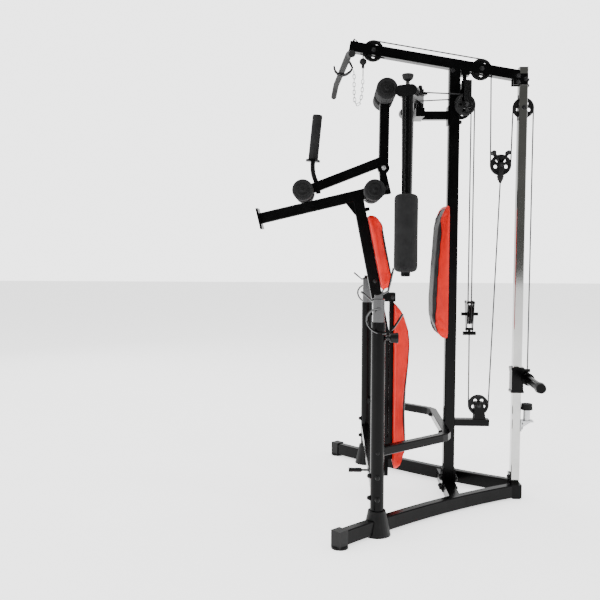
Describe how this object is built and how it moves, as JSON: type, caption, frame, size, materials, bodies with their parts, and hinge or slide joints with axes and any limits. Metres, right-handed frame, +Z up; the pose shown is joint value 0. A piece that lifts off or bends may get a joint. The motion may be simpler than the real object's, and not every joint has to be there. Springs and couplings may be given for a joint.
{
  "type": "multi station home gym",
  "caption": "Plate loaded home gym with a folded bench, leg lever, butterfly arms, barbell rack, top pulley and a cable driven weight carriage.",
  "frame": {"origin": "centre of the bounding box on the floor", "axes": "+Z up, -Y the front where the user faces, +X the left of a seated user"},
  "size_m": [1.4524, 1.2938, 2.1124],
  "materials": {
    "black_steel": "satin black powder coat",
    "red_leather": "red leatherette sides and a dark grey face",
    "foam": "matt closed cell foam",
    "plastic": "moulded black plastic",
    "chrome": "polished chrome",
    "grey_steel": "zinc plated",
    "rubber": "matt black rubber",
    "cable": "black plastic coated steel cable"
  },
  "bodies": {
    "frame": {"left_base_arm": "black_steel", "right_base_arm": "black_steel", "left_foot": "plastic", "right_foot": "plastic", "left_post_boot": "plastic", "right_post_boot": "plastic", "base_cross_tube": "black_steel", "rear_base_block": "black_steel", "top_beam": "black_steel", "main_upright": "black_steel", "chrome_post": "chrome", "swivel_bracket": "black_steel", "stop_bracket": "grey_steel", "stop_bumper": "rubber", "left_rack_post": "black_steel", "right_rack_post": "black_steel", "front_brace": "black_steel", "u_stabiliser": "black_steel", "butterfly_bracket": "black_steel", "back_pad": "red_leather", "bench_bracket": "black_steel", "lat_cable": "cable", "link_cable": "cable", "butterfly_cable": "cable"},
    "front_wheel": {"front_pulley": "plastic"},
    "rear_wheel": {"rear_pulley": "plastic"},
    "post_wheel": {"post_pulley": "plastic"},
    "low_wheel": {"low_pulley": "plastic"},
    "rear_float": {"rear_float_block": "black_steel"},
    "rear_float_wheel": {"rear_float_pulley": "plastic"},
    "front_float": {"front_float_block": "black_steel"},
    "front_float_wheel": {"front_float_pulley": "plastic"},
    "left_swivel_wheel": {"left_swivel_pulley": "plastic"},
    "right_swivel_wheel": {"right_swivel_pulley": "plastic"},
    "weight_carriage": {"carriage": "black_steel"},
    "lat_grip": {"cable_end": "grey_steel"},
    "lat_handle": {"lat_bar": "black_steel"},
    "left_rack": {"left_rack_slider": "chrome"},
    "right_rack": {"right_rack_slider": "chrome"},
    "left_lock": {"left_lock_knob": "plastic"},
    "right_lock": {"right_lock_knob": "plastic"},
    "left_butterfly": {"left_arm": "black_steel"},
    "right_butterfly": {"right_arm": "black_steel"},
    "left_pad": {"left_arm_pad": "foam"},
    "right_pad": {"right_arm_pad": "foam"},
    "left_knob": {"left_arm_knob": "plastic"},
    "right_knob": {"right_arm_knob": "plastic"},
    "bench": {"bench_rail": "black_steel", "seat_pad": "red_leather"},
    "backrest": {"backrest_frame": "black_steel", "backrest_pad": "red_leather"},
    "pull_pin": {"bench_pin": "plastic"},
    "lever": {"leg_lever": "black_steel", "lever_grip": "foam"},
    "left_upper": {"left_upper_roller": "foam"},
    "right_upper": {"right_upper_roller": "foam"},
    "left_lower": {"left_lower_roller": "foam"},
    "right_lower": {"right_lower_roller": "foam"},
    "left_knee": {"left_knee_roller": "foam"},
    "right_knee": {"right_knee_roller": "foam"}
  },
  "joints": [
    {"name": "lat_pull", "type": "slide", "parent": "frame", "child": "lat_grip", "axis": [0, 0, -1], "range_m": [0, 0.24], "deforming": ["lat_cable"]},
    {"name": "carriage_lift", "type": "slide", "parent": "frame", "child": "weight_carriage", "axis": [0, 0, 1], "range_m": [0, 0.24]},
    {"name": "front_pulley_turn", "type": "hinge", "parent": "frame", "child": "front_wheel", "pos_m": [0, -0.1114, 2.0591], "axis": [1, 0, 0], "continuous": true},
    {"name": "rear_pulley_turn", "type": "hinge", "parent": "frame", "child": "rear_wheel", "pos_m": [0, 0.378, 1.9728], "axis": [1, 0, 0], "continuous": true},
    {"name": "rear_float_pulley_turn", "type": "hinge", "parent": "rear_float", "child": "rear_float_wheel", "pos_m": [0, 0.4749, 1.543], "axis": [1, 0, 0], "continuous": true},
    {"name": "post_pulley_turn", "type": "hinge", "parent": "frame", "child": "post_wheel", "pos_m": [0, 0.5719, 1.8], "axis": [1, 0, 0], "continuous": true},
    {"name": "rear_float_lift", "type": "slide", "parent": "frame", "child": "rear_float", "axis": [0, 0, -1], "range_m": [0, 0.012], "deforming": ["link_cable"]},
    {"name": "front_float_lift", "type": "slide", "parent": "frame", "child": "front_float", "axis": [0, 0, 1], "range_m": [0, 0.012], "deforming": ["butterfly_cable"]},
    {"name": "front_float_pulley_turn", "type": "hinge", "parent": "front_float", "child": "front_float_wheel", "pos_m": [0, 0.3459, 0.857], "axis": [0, 1, 0], "continuous": true},
    {"name": "low_pulley_turn", "type": "hinge", "parent": "frame", "child": "low_wheel", "pos_m": [0, 0.3939, 0.43], "axis": [1, 0, 0], "continuous": true},
    {"name": "left_swivel_pulley_turn", "type": "hinge", "parent": "frame", "child": "left_swivel_wheel", "pos_m": [0.058, 0.2999, 1.806], "axis": [0.9646, 0.2639, 0], "continuous": true},
    {"name": "right_swivel_pulley_turn", "type": "hinge", "parent": "frame", "child": "right_swivel_wheel", "pos_m": [-0.058, 0.2999, 1.806], "axis": [0.9646, -0.2639, 0], "continuous": true},
    {"name": "left_arm_swing", "type": "hinge", "parent": "frame", "child": "left_butterfly", "pos_m": [0.06, 0.0979, 1.83], "axis": [0, 0, -1], "range_deg": [0, 15]},
    {"name": "right_arm_swing", "type": "hinge", "parent": "frame", "child": "right_butterfly", "pos_m": [-0.06, 0.0979, 1.83], "axis": [0, 0, 1], "range_deg": [0, 15]},
    {"name": "left_arm_pad_turn", "type": "hinge", "parent": "left_butterfly", "child": "left_pad", "pos_m": [0.2864, 0.0213, 1.228], "axis": [0, 0, 1], "continuous": true},
    {"name": "left_arm_knob_turn", "type": "hinge", "parent": "left_butterfly", "child": "left_knob", "pos_m": [0.2864, 0.0213, 1.87], "axis": [0, 0, 1], "continuous": true},
    {"name": "right_arm_pad_turn", "type": "hinge", "parent": "right_butterfly", "child": "right_pad", "pos_m": [-0.2984, 0.0812, 1.228], "axis": [0, 0, 1], "continuous": true},
    {"name": "right_arm_knob_turn", "type": "hinge", "parent": "right_butterfly", "child": "right_knob", "pos_m": [-0.2984, 0.0812, 1.87], "axis": [0, 0, 1], "continuous": true},
    {"name": "left_rack_height", "type": "slide", "parent": "frame", "child": "left_rack", "axis": [0, 0, 1], "range_m": [0, 0.15]},
    {"name": "left_lock_pull", "type": "slide", "parent": "frame", "child": "left_lock", "axis": [0, 1, 0], "range_m": [0, 0.02], "stiffness_N_per_m": 300},
    {"name": "right_rack_height", "type": "slide", "parent": "frame", "child": "right_rack", "axis": [0, 0, 1], "range_m": [0, 0.15]},
    {"name": "right_lock_pull", "type": "slide", "parent": "frame", "child": "right_lock", "axis": [0, 1, 0], "range_m": [0, 0.02], "stiffness_N_per_m": 300},
    {"name": "pull_pin_pull", "type": "slide", "parent": "frame", "child": "pull_pin", "axis": [0, -1, 0], "range_m": [0, 0.03], "stiffness_N_per_m": 300},
    {"name": "bench_fold", "type": "hinge", "parent": "frame", "child": "bench", "pos_m": [0, -0.0521, 0.25], "axis": [1, 0, 0], "range_deg": [0, 72.6]},
    {"name": "backrest_tilt", "type": "hinge", "parent": "bench", "child": "backrest", "pos_m": [0, -0.0121, 0.935], "axis": [1, 0, 0], "range_deg": [0, 10]},
    {"name": "lever_lift", "type": "hinge", "parent": "bench", "child": "lever", "pos_m": [0, -0.0601, 1.528], "axis": [-1, 0, 0], "range_deg": [0, 3]},
    {"name": "left_upper_roller_turn", "type": "hinge", "parent": "lever", "child": "left_upper", "pos_m": [0.1, -0.0571, 1.861], "axis": [1, 0, 0], "continuous": true},
    {"name": "right_upper_roller_turn", "type": "hinge", "parent": "lever", "child": "right_upper", "pos_m": [-0.1, -0.0571, 1.861], "axis": [1, 0, 0], "continuous": true},
    {"name": "left_lower_roller_turn", "type": "hinge", "parent": "lever", "child": "left_lower", "pos_m": [0.1, -0.4261, 1.42], "axis": [1, 0, 0], "continuous": true},
    {"name": "right_lower_roller_turn", "type": "hinge", "parent": "lever", "child": "right_lower", "pos_m": [-0.1, -0.4261, 1.42], "axis": [1, 0, 0], "continuous": true},
    {"name": "left_knee_roller_turn", "type": "hinge", "parent": "bench", "child": "left_knee", "pos_m": [0.1, -0.1071, 1.42], "axis": [1, 0, 0], "continuous": true},
    {"name": "right_knee_roller_turn", "type": "hinge", "parent": "bench", "child": "right_knee", "pos_m": [-0.1, -0.1071, 1.42], "axis": [1, 0, 0], "continuous": true},
    {"name": "lat_bar_lift_off", "type": "slide", "parent": "frame", "child": "lat_handle", "axis": [0, -0.0995, 0.995], "range_m": [0, 0.12]}
  ],
  "couplings": [
    {"joint": "carriage_lift", "follows": "lat_pull", "ratio": 1},
    {"joint": "front_pulley_turn", "follows": "lat_pull", "rad_per_m": 21.739},
    {"joint": "rear_pulley_turn", "follows": "lat_pull", "rad_per_m": 21.739},
    {"joint": "rear_float_pulley_turn", "follows": "lat_pull", "rad_per_m": -21.739},
    {"joint": "post_pulley_turn", "follows": "lat_pull", "rad_per_m": 21.739},
    {"joint": "right_arm_swing", "follows": "left_arm_swing", "ratio": 1},
    {"joint": "front_float_lift", "follows": "left_arm_swing", "m_per_rad": 0.0458},
    {"joint": "rear_float_lift", "follows": "left_arm_swing", "m_per_rad": 0.0458},
    {"joint": "low_pulley_turn", "follows": "left_arm_swing", "ratio": 0.9964},
    {"joint": "left_swivel_pulley_turn", "follows": "left_arm_swing", "ratio": 0.9964},
    {"joint": "right_swivel_pulley_turn", "follows": "left_arm_swing", "ratio": 0.9964}
  ]
}
